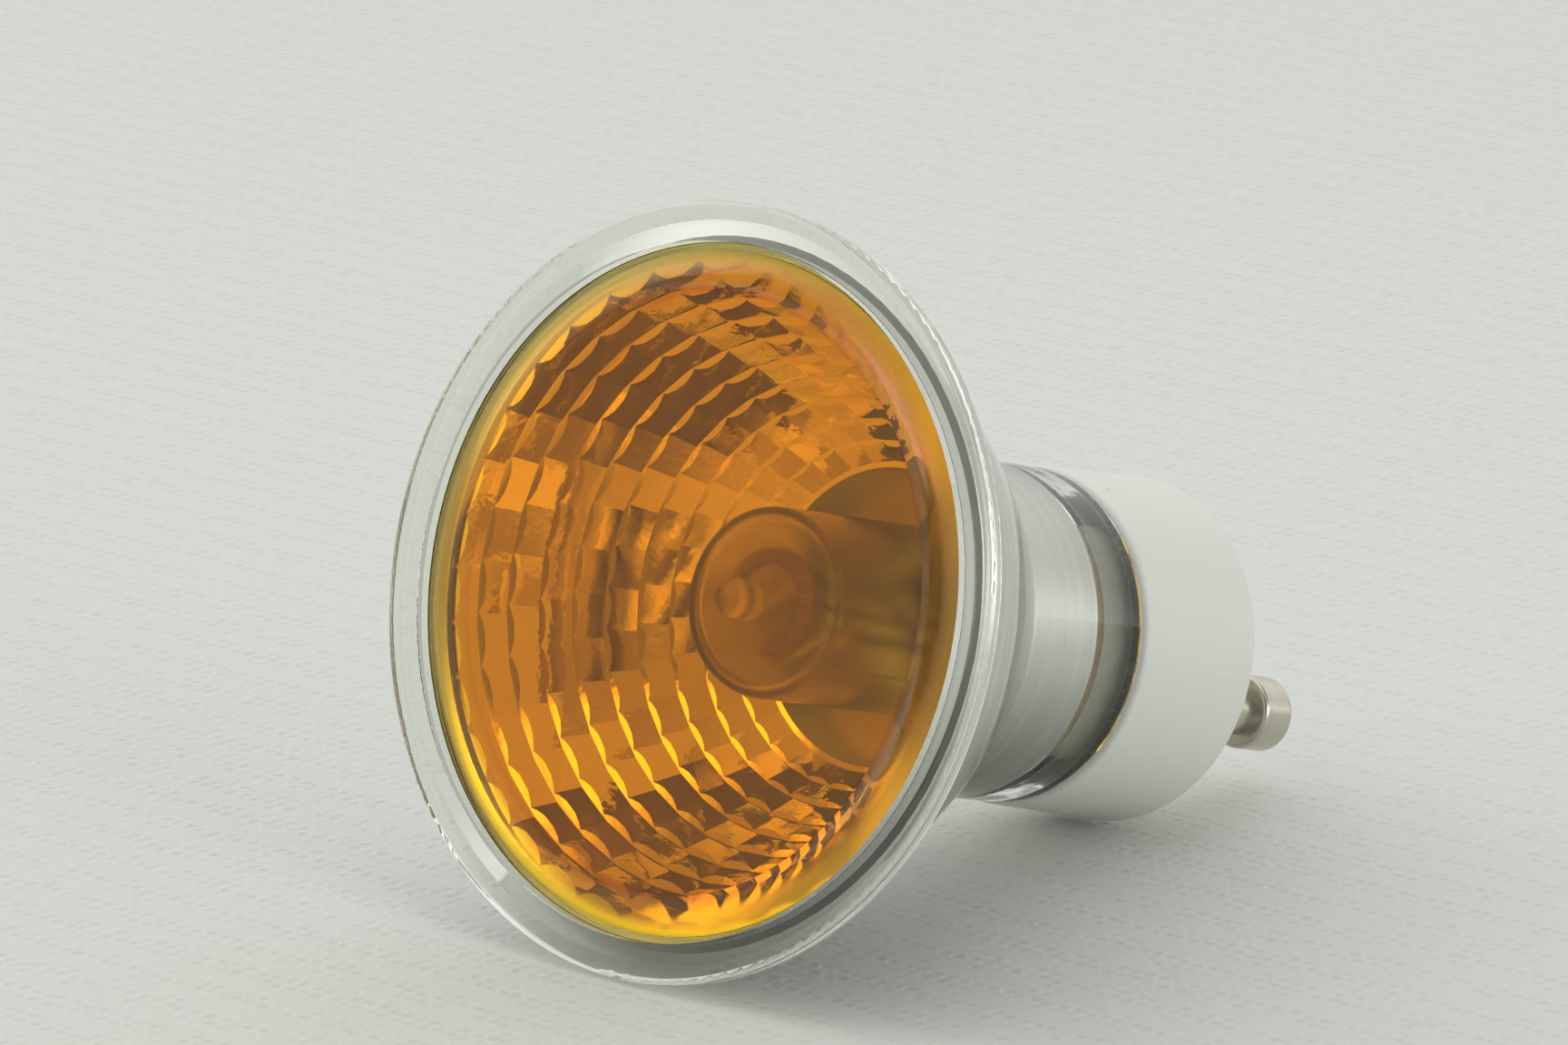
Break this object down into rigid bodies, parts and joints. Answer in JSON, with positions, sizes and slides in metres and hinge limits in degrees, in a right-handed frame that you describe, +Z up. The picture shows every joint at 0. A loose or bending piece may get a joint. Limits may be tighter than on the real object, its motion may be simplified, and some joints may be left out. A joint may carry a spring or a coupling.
{
  "type": "reflector lamp bulb",
  "caption": "Halogen reflector lamp with an amber front lens, a faceted mirrored bowl in clear glass, and a white ceramic cap with twist-lock pins.",
  "frame": {"origin": "centre of the ceramic cap's rear face, midway between the two contact pins", "axes": "+Y along the lamp's axis, out of the cap towards the free ends of the pins; the lens faces -Y; +Z is up"},
  "size_m": [0.05, 0.057, 0.05],
  "materials": {
    "reflector_glass": "clear pressed glass, mirrored inside the bowl",
    "amber_glass": "clear amber glass, yellow at its edge",
    "clear_adhesive": "clear, uneven bead",
    "bright_cement": "silvery, uneven",
    "cap_ceramic": "white, satin, fired",
    "tungsten": "drawn and coiled",
    "quartz": "clear, fire polished",
    "molybdenum": "drawn, grey",
    "nickel_wire": "drawn",
    "nickel_plate": "nickel plated, dulled",
    "potting": "grey, matte, porous"
  },
  "bodies": {
    "root": {"reflector": "reflector_glass", "front_lens": "amber_glass", "lens_bond": "clear_adhesive", "neck_cement": "bright_cement", "ceramic_cap": "cap_ceramic", "filament": "tungsten", "quartz_capsule": "quartz", "bridge_bead": "quartz", "inner_lead_near": "molybdenum", "inner_lead_far": "molybdenum", "foil_near": "molybdenum", "foil_far": "molybdenum", "support_wire_near": "molybdenum", "support_wire_far": "molybdenum", "outer_lead_near": "nickel_wire", "outer_lead_far": "nickel_wire", "fuse_wire": "nickel_wire", "contact_pin_near": "nickel_plate", "contact_pin_far": "nickel_plate", "potting_cement": "potting"}
  },
  "joints": []
}
